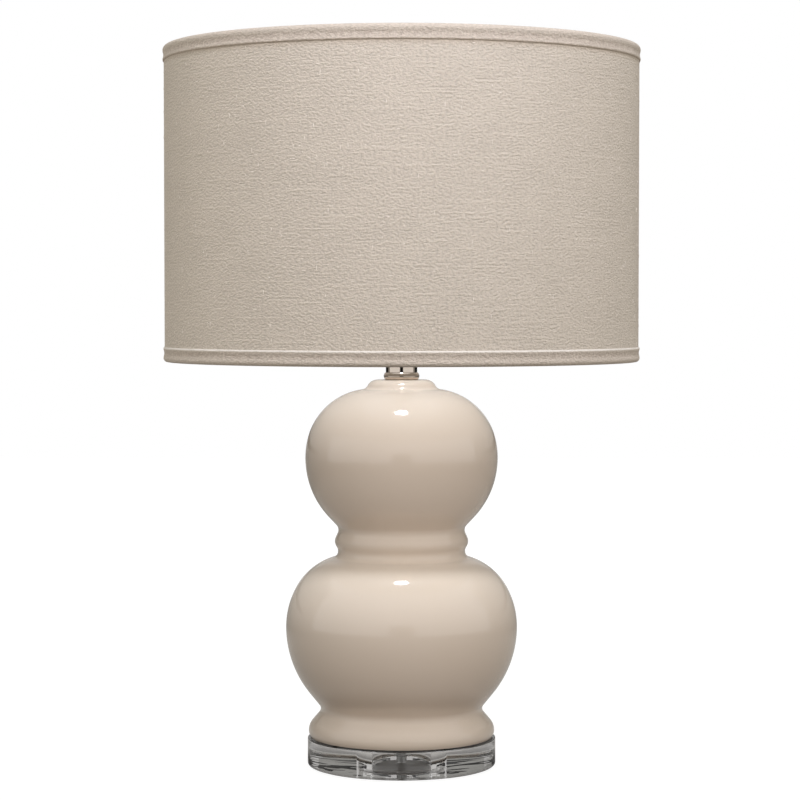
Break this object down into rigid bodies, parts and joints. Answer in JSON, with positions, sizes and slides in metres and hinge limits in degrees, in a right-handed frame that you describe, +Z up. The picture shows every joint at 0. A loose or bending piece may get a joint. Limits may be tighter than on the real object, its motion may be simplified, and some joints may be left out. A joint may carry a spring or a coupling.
{
  "type": "table lamp",
  "caption": "Table lamp with a glazed double gourd body on a clear round base and a linen drum shade carried by a harp.",
  "frame": {"origin": "centre of the clear base's underside, on the surface the lamp stands on", "axes": "+Z up along the pipe, -Y towards the viewer and the switch, the harp's wire loop in the X-Z plane"},
  "size_m": [0.4318, 0.4318, 0.6653],
  "materials": {
    "clear_acrylic": "clear, polished",
    "cover_board": "grey-brown fibre board, matt",
    "bushing_plastic": "moulded black",
    "gasket_rubber": "black foam rubber, matt",
    "glazed_body": "cream off-white glaze, glossy",
    "pipe_steel": "zinc plated, threaded",
    "hardware_steel": "zinc plated",
    "polished_nickel": "polished nickel",
    "harp_nickel": "satin nickel",
    "socket_nickel": "satin nickel",
    "liner_board": "dark brown fibre board",
    "socket_phenolic": "black moulded",
    "terminal_brass": "bright",
    "knob_plastic": "black moulded, fluted",
    "bulb_glass": "clear",
    "filament_metal": "dull coiled wire",
    "bulb_aluminium": "bare, rolled thread",
    "insulator_glass": "black",
    "bulb_tip_metal": "solder, dull",
    "linen": "off-white woven linen with slubs",
    "styrene": "white, translucent, smooth",
    "hem_linen": "off-white linen, folded and glued",
    "ring_wire": "plated wire",
    "spider_metal": "satin nickel"
  },
  "bodies": {
    "lamp": {"acrylic_base": "clear_acrylic", "pocket_cover": "cover_board", "cord_bushing": "bushing_plastic", "foot_gasket": "gasket_rubber", "ceramic_foot": "glazed_body", "ceramic_lower": "glazed_body", "ceramic_upper": "glazed_body", "lamp_pipe": "pipe_steel", "base_flat_washer": "hardware_steel", "base_lock_washer": "hardware_steel", "base_nut": "hardware_steel", "check_ring": "polished_nickel", "neck_spacer": "polished_nickel", "neck_nut": "hardware_steel", "harp_saddle": "harp_nickel", "socket_cap": "socket_nickel", "cap_set_screw": "hardware_steel", "socket_shell": "socket_nickel", "socket_liner": "liner_board", "socket_body": "socket_phenolic", "terminal_screw_left": "terminal_brass", "terminal_screw_right": "hardware_steel", "screw_shell": "terminal_brass", "centre_contact": "terminal_brass"},
    "switch": {"switch_stem": "hardware_steel", "switch_knob": "knob_plastic"},
    "bulb": {"bulb_glass": "bulb_glass", "bulb_stem": "bulb_glass", "bulb_lead_left": "hardware_steel", "bulb_lead_right": "hardware_steel", "bulb_filament": "filament_metal", "bulb_cap": "bulb_aluminium", "bulb_insulator": "insulator_glass", "bulb_tip": "bulb_tip_metal"},
    "harp_loop": {"harp": "harp_nickel"},
    "left_sleeve": {"harp_sleeve_left": "harp_nickel"},
    "right_sleeve": {"harp_sleeve_right": "harp_nickel"},
    "swivel": {"harp_stud": "hardware_steel"},
    "shade": {"shade_linen": "linen", "shade_backing": "styrene", "top_hem": "hem_linen", "bottom_hem": "hem_linen", "top_ring": "ring_wire", "bottom_ring": "ring_wire", "spider": "spider_metal"},
    "finial_top": {"finial": "polished_nickel"}
  },
  "joints": [
    {"name": "switch_turn", "type": "hinge", "parent": "lamp", "child": "switch", "pos_m": [0, 0, 0.4139], "axis": [0, -1, 0], "continuous": true},
    {"name": "bulb_lift", "type": "slide", "parent": "lamp", "child": "bulb", "axis": [0, 0, 1], "range_m": [0, 0.04]},
    {"name": "harp_lift", "type": "slide", "parent": "lamp", "child": "harp_loop", "axis": [0, 0, 1], "range_m": [0, 0.03]},
    {"name": "left_sleeve_lift", "type": "slide", "parent": "harp_loop", "child": "left_sleeve", "axis": [0, 0, 1], "range_m": [0, 0.018]},
    {"name": "right_sleeve_lift", "type": "slide", "parent": "harp_loop", "child": "right_sleeve", "axis": [0, 0, 1], "range_m": [0, 0.018]},
    {"name": "shade_turn", "type": "hinge", "parent": "harp_loop", "child": "swivel", "pos_m": [0, 0, 0.64], "axis": [0, 0, 1], "continuous": true},
    {"name": "shade_lift", "type": "slide", "parent": "swivel", "child": "shade", "axis": [0, 0, 1], "range_m": [0, 0.3]},
    {"name": "finial_turn", "type": "hinge", "parent": "shade", "child": "finial_top", "pos_m": [0, 0, 0.65], "axis": [0, 0, 1], "continuous": true}
  ]
}
